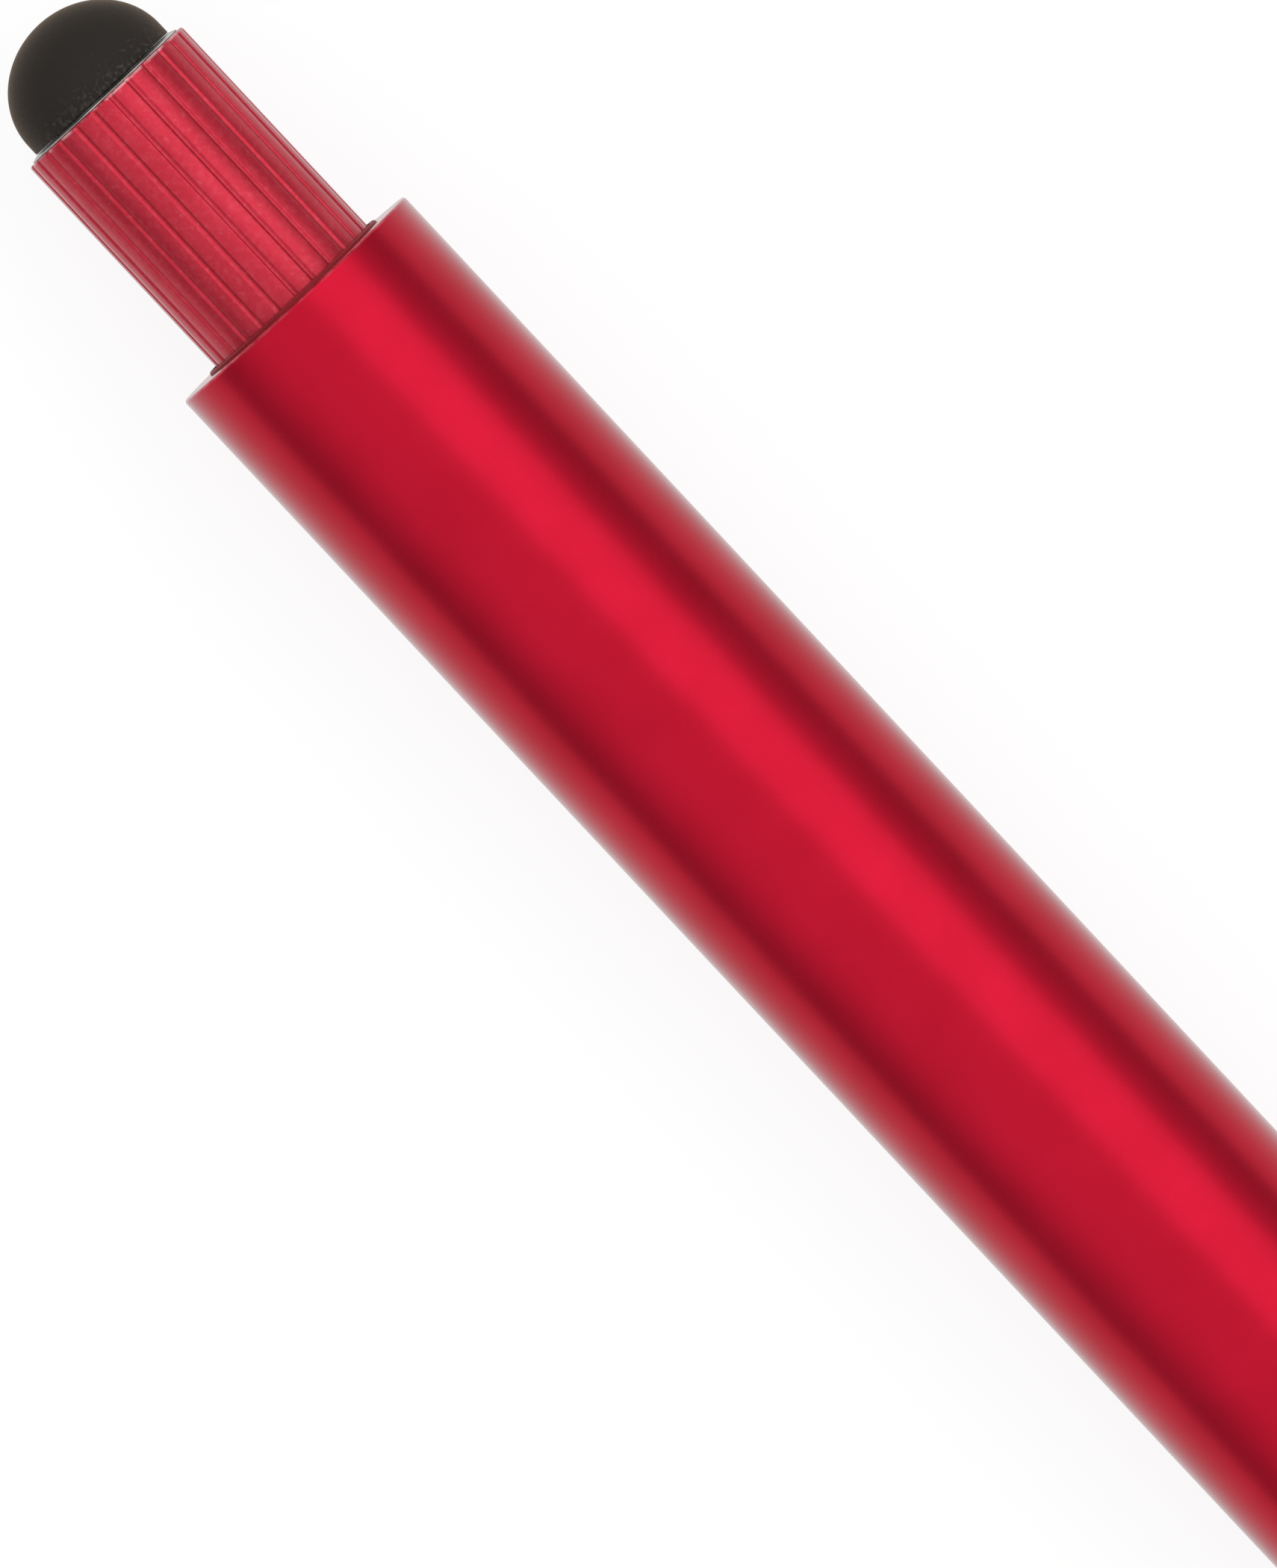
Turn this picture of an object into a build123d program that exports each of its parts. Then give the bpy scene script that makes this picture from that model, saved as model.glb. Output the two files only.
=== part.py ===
from build123d import *
import os
from math import asin, atan2, cos, degrees, pi, radians, sin, sqrt, tan

# Retractable ballpoint pen with a touch-screen stylus on its push button.
# Every piece is modelled upright on the Z axis, in millimetres: z = 0 is the barrel's rear mouth and
# +z runs towards the writing point. One placement at the end lays the pen along X, with the writing
# point at +X and the barrel resting on z = 0. The pen is shown retracted, with its button out.

# Clearances
PRESS_FIT = 0.02  # pieces that are pressed or glued together
RUNNING_FIT = 0.10  # pieces that slide or turn in each other
BUTTON_PLAY = 0.12  # button in its guide
END_GAP = 0.05  # pieces that push on each other end to end
EDGE_BREAK = 0.10  # broken sharp edges

# Fluted button tube and the shells around it, from the inside out
BUTTON_DIAMETER = 6.9
BUTTON_EXPOSED = 9.16
BUTTON_ENGAGED = 8.0  # length inside the barrel at rest
BUTTON_WALL = 0.75
FLUTE_COUNT = 27
FLUTE_WIDTH = 0.28
FLUTE_DEPTH = 0.07
FLUTE_FLOOR = 0.11
FLUTE_TURN = 2.2  # first flute from straight up
COLLAR_WALL = 0.19  # lip of the guide sleeve that shows in the mouth
COLLAR_PROUD = 0.12
COLLAR_BEVEL = 0.05
GUIDE_WALL = 0.66  # guide sleeve round the button, at least
BARREL_WALL = 0.70
BARREL_LENGTH = 108.0
BARREL_LIP = 1.0  # inward lip at the rear mouth, which holds the guide sleeve

# Stylus
DOME_DIAMETER = 5.97
DOME_CROWN = 2.70  # height of the oval crown
DOME_SIDE = 0.42  # height of the upright side below it
DOME_WALL = 0.90
FERRULE_BEVEL = 0.15
FERRULE_LENGTH = 3.5
FERRULE_WALL = 0.60
DOME_BEAD = 0.65  # length of the bead that locks behind the ferrule
PLUG_DIAMETER = 2.6
PLUG_FLANGE = 0.6

# Click mechanism
LATCH_TRAVEL = 4.5  # how far the point stands forward when it is latched out
OVER_TRAVEL = 1.3  # extra stroke that frees the cam
STOP_GAP = 0.4
STEM_SHOULDER = 0.8
STEM_ROOF = 2.0
BULKHEAD = 1.0  # wall across the guide sleeve that stops the button's keys
SLOT_COUNT = 4
SLOT_WIDTH = 1.5
RIB_HEIGHT = 0.65
RAMP_ANGLE = 32.0
KEY_LENGTH = 1.2
CROWN_ROOM = 1.1  # from the keys to the tops of the cam's fins
CROWN_WALL = 0.8
CROWN_LEAD = 0.28  # how far a fin still has to slide into its crown notch
PILOT_DIAMETER = 3.0
PILOT_LENGTH = 4.0
FIN_LENGTH = 4.0
HUB_DROP = 1.1  # from the fin tops down to the hub
FOOT_LENGTH = 5.1  # from the fins down to the refill
SKIRT_LENGTH = 7.0

# Nose cone
NOSE_LENGTH = 19.5
NOSE_LAND = 0.8  # straight band next to the barrel
NOSE_POINT_LENGTH = 5.7  # steeper cone at the tip
NOSE_POINT_DIAMETER = 6.4
NOSE_TIP_DIAMETER = 3.5
NOSE_TIP_ROUND = 0.25
ORIFICE_LENGTH = 6.0
ORIFICE_CLEARANCE = 0.15  # round the writing point
SPIGOT_LENGTH = 8.0
SPIGOT_WALL = 0.5
BUSH_WALL = 0.51  # thread bush round the spigot, at least
BUSH_LENGTH = 8.6
BUSH_RECESS = 0.4

# Refill and spring
REFILL_DIAMETER = 5.9
REFILL_WALL = 0.25
REFILL_ROOM = 0.3  # free space round the refill
POINT_RECESS = 1.9  # ball behind the nose's tip when retracted
POINT_LENGTH = 11.0
POINT_DIAMETER = 2.3
POINT_CONE = 2.9
POINT_SHANK = 4.0  # length pressed into the refill's neck
NECK_DIAMETER = 3.2
NECK_LENGTH = 9.0
SEAT_DIAMETER = 5.0  # flat that the spring pushes on
SEAT_CONE = 1.0
BALL_DIAMETER = 1.0
BALL_FIT = 0.02
BALL_LIP = 0.18  # how far the socket closes past the ball's middle
LIP_WALL = 0.07
INK_DUCT_DIAMETER = 0.5
CAP_HEAD = 2.0
CAP_PLUG = 4.0
CAP_NOTCHES = 6
CAP_NOTCH = 0.8
CAP_SOCKET_DEPTH = 2.6
FOOT_PIN_DIAMETER = 2.4
FOOT_PIN_LENGTH = 2.0
VENT_DIAMETER = 0.8
INK_AIR = 9.0  # empty length behind the ink
WIRE_DIAMETER = 0.40
WIRE_SIDES = 4  # the round wire is simplified to a square bar
COIL_DIAMETER = 4.2
COIL_COUNT = 8

# Radii that follow
refill_r = REFILL_DIAMETER / 2
nose_bore_r = refill_r + REFILL_ROOM
spigot_r = nose_bore_r + SPIGOT_WALL
button_r = BUTTON_DIAMETER / 2
guide_r = button_r + BUTTON_PLAY
collar_r = guide_r + COLLAR_WALL
mouth_r = collar_r + PRESS_FIT
sleeve_r = max(guide_r + GUIDE_WALL, spigot_r + PRESS_FIT + BUSH_WALL)
bore_r = sleeve_r + PRESS_FIT
barrel_r = bore_r + BARREL_WALL
tube_bore_r = button_r - BUTTON_WALL
inside_tube_r = tube_bore_r - PRESS_FIT
plug_r = PLUG_DIAMETER / 2
pilot_r = PILOT_DIAMETER / 2
stem_bore_r = pilot_r + RUNNING_FIT
crown_r = stem_bore_r + CROWN_WALL
rib_r = crown_r + RUNNING_FIT
slot_r = rib_r + RIB_HEIGHT
fin_r = slot_r - RUNNING_FIT
skirt_r = max(slot_r + RUNNING_FIT, nose_bore_r)
fin_width = SLOT_WIDTH - 2 * RUNNING_FIT
refill_bore_r = refill_r - REFILL_WALL
neck_r = NECK_DIAMETER / 2
neck_bore_r = neck_r - REFILL_WALL
point_r = POINT_DIAMETER / 2
ball_r = BALL_DIAMETER / 2
orifice_r = point_r + ORIFICE_CLEARANCE
coil_r = COIL_DIAMETER / 2
wire_r = WIRE_DIAMETER / 2
spring_bore_r = coil_r + wire_r + REFILL_ROOM

# Stations along the axis that follow
press_travel = LATCH_TRAVEL + OVER_TRAVEL
shoulder_z = BUTTON_ENGAGED + STEM_SHOULDER
bulkhead_z = shoulder_z + press_travel + STOP_GAP
slot_z = bulkhead_z + BULKHEAD
key_z = slot_z + RUNNING_FIT
fin_z = key_z + KEY_LENGTH + CROWN_ROOM
ramp_run = slot_r * sin(pi / SLOT_COUNT - asin(SLOT_WIDTH / 2 / slot_r))
ramp_rise = ramp_run * tan(radians(RAMP_ANGLE))
rib_end_z = fin_z + LATCH_TRAVEL + ramp_rise
hub_z = fin_z + HUB_DROP
fin_end_z = fin_z + FIN_LENGTH
foot_z = fin_end_z + FOOT_LENGTH
skirt_end_z = rib_end_z + SKIRT_LENGTH
refill_z = foot_z + END_GAP
button_z = -BUTTON_EXPOSED
dome_z = button_z - FERRULE_BEVEL
dome_side_z = dome_z - DOME_SIDE
dome_top_z = dome_side_z - DOME_CROWN
ferrule_end_z = button_z + FERRULE_LENGTH
bead_z = ferrule_end_z + PRESS_FIT
bead_end_z = bead_z + DOME_BEAD
plug_flange_z = bead_end_z + PRESS_FIT
plug_end_z = plug_flange_z + PLUG_FLANGE
stem_z = plug_end_z + PRESS_FIT
nose_z = BARREL_LENGTH + NOSE_LENGTH
ledge_z = nose_z - ORIFICE_LENGTH
point_z = nose_z - POINT_RECESS
ball_z = point_z - ball_r
neck_end_z = point_z - POINT_LENGTH
seat_z = neck_end_z - NECK_LENGTH
refill_body_end_z = seat_z - SEAT_CONE
overall_length = nose_z - dome_top_z

# Half planes in which outlines are drawn: radius against z, and the tangent against z
AXIAL = Plane.XZ
TANGENTIAL = Plane(origin=(0, 0, 0), x_dir=(0, 1, 0), z_dir=(1, 0, 0))


def turned(*outline):
    """Solid turned about the axis from a closed outline of (radius, z) corners."""
    return revolve(AXIAL * make_face(Polyline(*outline, close=True)), Axis.Z)


def ring(inner, outer, start_z, end_z):
    """Plain ring on the axis."""
    return turned((inner, start_z), (outer, start_z), (outer, end_z), (inner, end_z))


def radial_block(inner, outer, *outline):
    """Block between two radii at +X, from a closed outline of (tangent, z) corners."""
    prism = extrude(TANGENTIAL * make_face(Polyline(*outline, close=True)), 2 * outer)
    heights = [z for _, z in outline]
    return prism & ring(inner, outer, min(heights), max(heights))


def upright_block(inner, outer, width, start_z, end_z):
    """Block between two radii at +X with parallel sides."""
    half = width / 2
    return radial_block(inner, outer, (-half, start_z), (half, start_z), (half, end_z), (-half, end_z))


def spaced(solid, count, turn=0.0):
    """Copies of a solid round the axis, the first one turned by a given angle."""
    return [Rot(0, 0, turn + 360 / count * i) * solid for i in range(count)]


def make_barrel():
    """Drawn tube with an inward lip at its rear mouth."""
    return turned(
        (mouth_r, 0),
        (barrel_r - EDGE_BREAK, 0),
        (barrel_r, EDGE_BREAK),
        (barrel_r, BARREL_LENGTH - EDGE_BREAK),
        (barrel_r - EDGE_BREAK, BARREL_LENGTH),
        (bore_r, BARREL_LENGTH),
        (bore_r, BARREL_LIP),
        (mouth_r, BARREL_LIP),
    )


def make_nose_cone():
    """Cone in two tapers with a threaded spigot, a spring chamber and the point's hole."""
    tip_r = NOSE_TIP_DIAMETER / 2
    spigot_z = BARREL_LENGTH - SPIGOT_LENGTH
    chamber_z = refill_body_end_z + press_travel + REFILL_ROOM
    return turned(
        (orifice_r, nose_z),
        (orifice_r, ledge_z),
        (spring_bore_r, ledge_z),
        (spring_bore_r, chamber_z + nose_bore_r - spring_bore_r),
        (nose_bore_r, chamber_z),
        (nose_bore_r, spigot_z),
        (spigot_r, spigot_z),
        (spigot_r, BARREL_LENGTH),
        (barrel_r - EDGE_BREAK, BARREL_LENGTH),
        (barrel_r, BARREL_LENGTH + EDGE_BREAK),
        (barrel_r, BARREL_LENGTH + NOSE_LAND),
        (NOSE_POINT_DIAMETER / 2, nose_z - NOSE_POINT_LENGTH),
        (tip_r, nose_z - NOSE_TIP_ROUND),
        (tip_r - NOSE_TIP_ROUND, nose_z),
    )


def make_thread_bush():
    """Bush fixed in the barrel's front end, into which the nose cone screws."""
    end_z = BARREL_LENGTH - BUSH_RECESS
    return ring(spigot_r + PRESS_FIT, sleeve_r, end_z - BUSH_LENGTH, end_z)


def ramp_cutter(wall, past_wall=0.0):
    """Wedge that rises towards a wall at a tangent offset, and may rise on past it."""
    end = wall + past_wall
    return radial_block(
        crown_r,
        (slot_r + skirt_r) / 2,
        (wall - ramp_run, rib_end_z),
        (end, rib_end_z - (ramp_run + past_wall) * tan(radians(RAMP_ANGLE))),
        (end, rib_end_z + EDGE_BREAK),
        (wall - ramp_run, rib_end_z + EDGE_BREAK),
    )


def make_guide_sleeve():
    """Plastic sleeve: button guide, bulkhead, slotted ribs with two ramps each, and an open skirt."""
    body = turned(
        (guide_r, -COLLAR_PROUD),
        (collar_r - COLLAR_BEVEL, -COLLAR_PROUD),
        (collar_r, COLLAR_BEVEL - COLLAR_PROUD),
        (collar_r, BARREL_LIP),
        (sleeve_r, BARREL_LIP),
        (sleeve_r, skirt_end_z),
        (skirt_r, skirt_end_z),
        (skirt_r, rib_end_z),
        (rib_r, rib_end_z),
        (rib_r, bulkhead_z),
        (guide_r, bulkhead_z),
    )
    slot = upright_block(crown_r, slot_r, SLOT_WIDTH, slot_z, rib_end_z + EDGE_BREAK)
    half_pitch = 180 / SLOT_COUNT
    body -= spaced(slot, SLOT_COUNT)
    body -= spaced(ramp_cutter(0), SLOT_COUNT, half_pitch)
    body -= spaced(ramp_cutter(-SLOT_WIDTH / 2, SLOT_WIDTH / 2), SLOT_COUNT)
    return body


def make_button_tube():
    """Tube with narrow straight flutes all round."""
    flute = make_face(
        Polyline(
            (button_r - FLUTE_DEPTH, -FLUTE_FLOOR / 2),
            (button_r + FLUTE_DEPTH, -FLUTE_WIDTH + FLUTE_FLOOR / 2),
            (button_r + FLUTE_DEPTH, FLUTE_WIDTH - FLUTE_FLOOR / 2),
            (button_r - FLUTE_DEPTH, FLUTE_FLOOR / 2),
            close=True,
        )
    )
    section = Circle(button_r) - Circle(tube_bore_r) - spaced(flute, FLUTE_COUNT, 180 - FLUTE_TURN)
    return Pos(0, 0, button_z) * extrude(section, BUTTON_EXPOSED + BUTTON_ENGAGED)


def make_button_stem():
    """Stem pressed into the button tube, with guide keys and a crown of notches that turns the cam."""
    half_notch = pi * (stem_bore_r + crown_r) / 2 / (2 * SLOT_COUNT)
    notch_depth = half_notch * tan(radians(RAMP_ANGLE))
    notch_x = fin_width / 2 + CROWN_LEAD
    notch_turn = degrees(asin(notch_x / crown_r))
    notch_z = fin_z - RUNNING_FIT - CROWN_LEAD * tan(radians(RAMP_ANGLE))
    crown_z = notch_z + notch_depth
    body = turned(
        (0, stem_z),
        (inside_tube_r, stem_z),
        (inside_tube_r, BUTTON_ENGAGED),
        (button_r - FLUTE_DEPTH, BUTTON_ENGAGED),
        (button_r - FLUTE_DEPTH, shoulder_z),
        (crown_r, shoulder_z),
        (crown_r, crown_z),
        (stem_bore_r, crown_z),
        (stem_bore_r, stem_z + STEM_ROOF),
        (0, stem_z + STEM_ROOF),
    )
    notch = radial_block(
        pilot_r,
        rib_r,
        (0, notch_z),
        (half_notch, crown_z),
        (half_notch, crown_z + EDGE_BREAK),
        (-half_notch, crown_z + EDGE_BREAK),
        (-half_notch, crown_z),
    )
    key = upright_block((stem_bore_r + crown_r) / 2, fin_r, fin_width, key_z, key_z + KEY_LENGTH)
    body -= spaced(notch, 2 * SLOT_COUNT, notch_turn)
    return body + spaced(key, SLOT_COUNT)


def make_cam_rotor():
    """Cam with sloped fins that the crown and the ramps turn step by step, and a foot on the refill."""
    body = turned(
        (0, hub_z - PILOT_LENGTH),
        (pilot_r, hub_z - PILOT_LENGTH),
        (pilot_r, hub_z),
        (crown_r, hub_z),
        (crown_r, foot_z),
        (FOOT_PIN_DIAMETER / 2, foot_z),
        (FOOT_PIN_DIAMETER / 2, foot_z + FOOT_PIN_LENGTH),
        (0, foot_z + FOOT_PIN_LENGTH),
    )
    fin = radial_block(
        pilot_r / 2,
        fin_r,
        (-fin_width / 2, fin_z + fin_width * tan(radians(RAMP_ANGLE))),
        (fin_width / 2, fin_z),
        (fin_width / 2, fin_end_z),
        (-fin_width / 2, fin_end_z),
    )
    return body + spaced(fin, SLOT_COUNT)


def make_stylus_ferrule():
    """Bare metal ferrule with a bevelled edge, pressed into the button tube."""
    return turned(
        (inside_tube_r - FERRULE_WALL, dome_z),
        (DOME_DIAMETER / 2, dome_z),
        (button_r - FLUTE_DEPTH, button_z),
        (inside_tube_r, button_z),
        (inside_tube_r, ferrule_end_z),
        (inside_tube_r - FERRULE_WALL, ferrule_end_z),
    )


def oval_quarter(radius, height, base_z):
    """Crown and shoulder arcs of an oval dome, from its top on the axis to its side at base_z."""
    crown_radius = radius**2 / height
    way = Vector((2 * radius + height) / (2 * radius), -(radius + height) / height).normalized()
    joint = Vector(0, base_z - height + crown_radius) + way * crown_radius
    crown = TangentArc((0, base_z - height), joint, tangent=(1, 0))
    return [crown, TangentArc(joint, (radius, base_z), tangent=crown % 1)]


def make_stylus_dome():
    """Hollow rubber dome whose neck goes through the ferrule and locks behind it with a bead."""
    outer_r = DOME_DIAMETER / 2
    inner_r = outer_r - DOME_WALL
    neck_outer_r = inside_tube_r - FERRULE_WALL - PRESS_FIT
    neck_inner_r = plug_r + PRESS_FIT
    rim_z = dome_z - PRESS_FIT
    outline = [
        *oval_quarter(outer_r, DOME_CROWN, dome_side_z),
        Polyline(
            (outer_r, dome_side_z),
            (outer_r, rim_z),
            (neck_outer_r, rim_z),
            (neck_outer_r, bead_z),
            (inside_tube_r, bead_z),
            (inside_tube_r, bead_end_z),
            (neck_inner_r, bead_end_z),
            (neck_inner_r, dome_side_z),
            (inner_r, dome_side_z),
            (neck_inner_r, dome_top_z + DOME_WALL),
            (0, dome_top_z + DOME_WALL),
            (0, dome_top_z),
        ),
    ]
    return revolve(AXIAL * make_face(outline), Axis.Z)


def make_stylus_plug():
    """Flanged plug that spreads the dome's neck in the ferrule and stands on the stem."""
    return turned(
        (0, button_z),
        (plug_r, button_z),
        (plug_r, plug_flange_z),
        (inside_tube_r, plug_flange_z),
        (inside_tube_r, plug_end_z),
        (0, plug_end_z),
    )


def make_refill_end_cap():
    """Notched plastic cap in the refill's rear end, with a vent."""
    head_end_z = refill_z + CAP_HEAD
    cap_plug_r = refill_bore_r - PRESS_FIT
    body = turned(
        (FOOT_PIN_DIAMETER / 2 + RUNNING_FIT, refill_z),
        (refill_r, refill_z),
        (refill_r, head_end_z),
        (cap_plug_r, head_end_z),
        (cap_plug_r, head_end_z + CAP_PLUG),
        (VENT_DIAMETER / 2, head_end_z + CAP_PLUG),
        (VENT_DIAMETER / 2, refill_z + CAP_SOCKET_DEPTH),
        (FOOT_PIN_DIAMETER / 2 + RUNNING_FIT, refill_z + CAP_SOCKET_DEPTH),
    )
    notch = upright_block(
        FOOT_PIN_DIAMETER / 2, barrel_r, CAP_NOTCH, refill_z - EDGE_BREAK, refill_z + CAP_NOTCH
    )
    return body - spaced(notch, CAP_NOTCHES)


def make_refill_tube():
    """Metal ink tube, necked down at the front behind a flat seat for the spring."""
    start_z = refill_z + CAP_HEAD + PRESS_FIT
    return turned(
        (refill_bore_r, start_z),
        (refill_r, start_z),
        (refill_r, refill_body_end_z),
        (SEAT_DIAMETER / 2, seat_z),
        (neck_r, seat_z),
        (neck_r, neck_end_z),
        (neck_bore_r, neck_end_z),
        (neck_bore_r, seat_z - REFILL_WALL),
        (SEAT_DIAMETER / 2 - REFILL_WALL, seat_z - REFILL_WALL),
        (refill_bore_r, refill_body_end_z - REFILL_WALL),
    )


def make_ink_column():
    """Ink that fills the tube and its neck, with air left behind it."""
    start_z = refill_z + CAP_HEAD + CAP_PLUG + INK_AIR
    shoulder = refill_body_end_z - REFILL_WALL - PRESS_FIT
    end_z = neck_end_z - POINT_SHANK - PRESS_FIT
    return turned(
        (0, start_z),
        (refill_bore_r - PRESS_FIT, start_z),
        (refill_bore_r - PRESS_FIT, shoulder),
        (neck_bore_r - PRESS_FIT, shoulder),
        (neck_bore_r - PRESS_FIT, end_z),
        (0, end_z),
    )


def make_refill_point():
    """Writing point: shank in the neck, straight body, cone, ink duct, and the ball's seat and lip."""
    socket_r = ball_r + BALL_FIT
    lip_z = ball_z + BALL_LIP
    lip_r = sqrt(socket_r**2 - BALL_LIP**2)
    duct_r = INK_DUCT_DIAMETER / 2
    seat_reach = sqrt(2) * socket_r
    return turned(
        (duct_r, neck_end_z - POINT_SHANK),
        (neck_bore_r - PRESS_FIT, neck_end_z - POINT_SHANK),
        (neck_bore_r - PRESS_FIT, neck_end_z),
        (point_r, neck_end_z),
        (point_r, point_z - POINT_CONE),
        (lip_r + LIP_WALL, lip_z),
        (lip_r, lip_z),
        (socket_r, ball_z),
        (socket_r, ball_z - seat_reach + socket_r),
        (duct_r, ball_z - seat_reach + duct_r),
    )


def make_writing_ball():
    """Ball held in the point's socket."""
    return Pos(0, 0, ball_z) * Sphere(ball_r)


def biarc(start, start_way, end, end_way):
    """Two arcs that join two points and keep the direction at both."""
    chord = end - start
    ways = start_way + end_way
    bend = 2 * (1 - start_way.dot(end_way))
    across = chord.dot(ways)
    reach = (sqrt(across**2 + bend * chord.dot(chord)) - across) / bend
    first_corner = start + start_way * reach
    second_corner = end - end_way * reach
    joint = (first_corner + second_corner) * 0.5
    return [
        TangentArc(start, joint, tangent=start_way),
        TangentArc(joint, end, tangent=second_corner - first_corner),
    ]


def make_return_spring():
    """Compression spring between the refill's seat and the ledge in the nose cone."""
    start_z = seat_z + END_GAP + wire_r
    pitch = (ledge_z - END_GAP - wire_r - start_z) / COIL_COUNT
    slope = atan2(pitch, 2 * pi * coil_r)

    def place(turns):
        angle = 2 * pi * turns
        return Vector(coil_r * cos(angle), coil_r * sin(angle), start_z + pitch * turns)

    def heading(turns):
        angle = 2 * pi * turns
        return Vector(-sin(angle) * cos(slope), cos(angle) * cos(slope), sin(slope))

    arcs = []
    for half_turn in range(2 * COIL_COUNT):
        start, end = half_turn / 2, (half_turn + 1) / 2
        arcs += biarc(place(start), heading(start), place(end), heading(end))
    line = [arc @ (step / 4) for arc in arcs for step in range(4)]
    turn = len(line) // COIL_COUNT
    gap = min((a - b).length for i, a in enumerate(line) for b in line[i + turn // 2 :]) - WIRE_DIAMETER
    print(f"return_spring: least gap between coils {gap:.2f} mm")
    section = Plane(origin=place(0), z_dir=heading(0)) * RegularPolygon(wire_r, WIRE_SIDES)
    return sweep(section, path=Wire([edge for arc in arcs for edge in arc.edges()]))


PIECES = {
    "barrel": make_barrel,
    "nose_cone": make_nose_cone,
    "thread_bush": make_thread_bush,
    "guide_sleeve": make_guide_sleeve,
    "return_spring": make_return_spring,
    "button_tube": make_button_tube,
    "button_stem": make_button_stem,
    "stylus_ferrule": make_stylus_ferrule,
    "stylus_dome": make_stylus_dome,
    "stylus_plug": make_stylus_plug,
    "cam_rotor": make_cam_rotor,
    "refill_end_cap": make_refill_end_cap,
    "refill_tube": make_refill_tube,
    "ink_column": make_ink_column,
    "refill_point": make_refill_point,
    "writing_ball": make_writing_ball,
}

# The pen lies down: its axis turns from Z to X and rises by the barrel's radius
LYING = Location((overall_length / 2 - nose_z, 0, barrel_r), (0, 90, 0))

os.makedirs("parts", exist_ok=True)
for node, make in PIECES.items():
    solid = LYING * make()
    solid.label = node
    export_step(solid, f"parts/{node}.step")
print(f"overall length {overall_length:.2f} mm, barrel diameter {2 * barrel_r:.2f} mm")
print(f"button travel {press_travel:.2f} mm, refill length {point_z - refill_z:.2f} mm")
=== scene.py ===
from math import cos, hypot, pi, radians, sin, sqrt, tan

import bmesh
import bpy
from mathutils import Matrix, Vector


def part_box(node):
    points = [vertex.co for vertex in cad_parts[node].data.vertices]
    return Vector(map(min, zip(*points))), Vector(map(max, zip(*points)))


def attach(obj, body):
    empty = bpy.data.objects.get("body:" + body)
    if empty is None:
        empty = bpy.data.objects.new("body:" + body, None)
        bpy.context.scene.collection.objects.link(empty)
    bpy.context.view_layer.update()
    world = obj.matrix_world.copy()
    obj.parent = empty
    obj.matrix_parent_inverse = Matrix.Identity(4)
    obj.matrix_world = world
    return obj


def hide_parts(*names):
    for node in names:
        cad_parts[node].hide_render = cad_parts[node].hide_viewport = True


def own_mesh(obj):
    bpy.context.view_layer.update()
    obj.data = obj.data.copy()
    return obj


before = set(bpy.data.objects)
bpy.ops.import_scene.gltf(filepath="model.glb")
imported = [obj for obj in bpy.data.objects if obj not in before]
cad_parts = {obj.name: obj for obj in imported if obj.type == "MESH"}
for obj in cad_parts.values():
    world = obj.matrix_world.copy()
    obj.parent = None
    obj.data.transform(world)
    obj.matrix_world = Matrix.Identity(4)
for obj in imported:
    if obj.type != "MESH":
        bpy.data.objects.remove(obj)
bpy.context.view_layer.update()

# Dressed model of a click pen with a stylus on its button, lying along X with its point at +X.
# Lengths are in millimetres, and become metres where a mesh, a lamp or the camera is placed.
MM = 0.001

# Photograph: its frame, its scale and the way it looks at the pen
PHOTO_HEIGHT_PX = 2100
PX_PER_MM = 40.15
PEN_TURN = radians(46.9)  # the pen points this far below the picture's right
CAMERA_TILT = radians(3.85)  # the camera leans towards the stylus
CAMERA_DISTANCE = 455.0
CAMERA_AIM = (-37.88, -2.663)
SENSOR = 36.0

# Studio: a pale room, brighter overhead, and one long soft lamp that leans from upright towards +Y
ROOM_LOW = 0.45
ROOM_HIGH = 1.10
ROOM_RISE = (0.05, 0.85)  # upward share of a direction at which the room starts and ends to brighten
LAMP_DISTANCE = 900.0
LAMP_LENGTH = 1800.0
LAMP_LEAN = radians(32)
LAMP_SPREAD = radians(23)
LAMP_RADIANCE = 0.6
FLOOR_SIZE = 6000.0
FLOOR_ALBEDO = 0.15
FLOOR_GLOW = 0.86

# Colours, each as a dark and a light shade where it varies
BARREL_DYE = ((0.43, 0.0025, 0.020), (0.47, 0.0035, 0.024))
# paler edge colour: rubbed dye, and a painted highlight along the barrel's rounded edges
BARREL_RUBBED_AND_HIGHLIGHT = (0.55, 0.065, 0.095)
BARREL_EDGE_TINT = (0.80, 0.90, 0.90)
BUTTON_DYE = ((0.435, 0.011, 0.030), (0.49, 0.017, 0.040))
# pale land corners: rubbed dye, and painted glints at the ends of the lands
BUTTON_RUBBED_AND_GLINT = (0.70, 0.34, 0.36)
BUTTON_EDGE_TINT = (0.72, 0.72, 0.72)
MOTTLE_RED = (0.62, 0.07, 0.10)
SPECK_RED = (0.84, 0.30, 0.33)
ALUMINIUM = ((0.20, 0.18, 0.17), (0.66, 0.65, 0.63))
RUBBER = ((0.0130, 0.0094, 0.0070), (0.0165, 0.0120, 0.0090))
RUBBER_SHEEN = (0.85, 0.62, 0.42)
DUST = (0.065, 0.062, 0.056)
BRASS = ((0.66, 0.44, 0.17), (0.78, 0.56, 0.25))
BALL_STEEL = ((0.46, 0.46, 0.48), (0.56, 0.56, 0.58))
SPRING_STEEL = ((0.50, 0.50, 0.51), (0.62, 0.62, 0.63))
REFILL_STEEL = ((0.52, 0.52, 0.53), (0.64, 0.64, 0.65))
MAROON = ((0.27, 0.013, 0.020), (0.31, 0.018, 0.026))
WHITE = ((0.70, 0.69, 0.65), (0.80, 0.79, 0.75))
GREY = ((0.38, 0.39, 0.41), (0.47, 0.48, 0.50))
INK = ((0.004, 0.004, 0.010), (0.010, 0.010, 0.022))

# Colour sockets of a Mix node, by number because their names repeat
MIX_FIRST, MIX_SECOND, MIX_RESULT = 6, 7, 2
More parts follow.
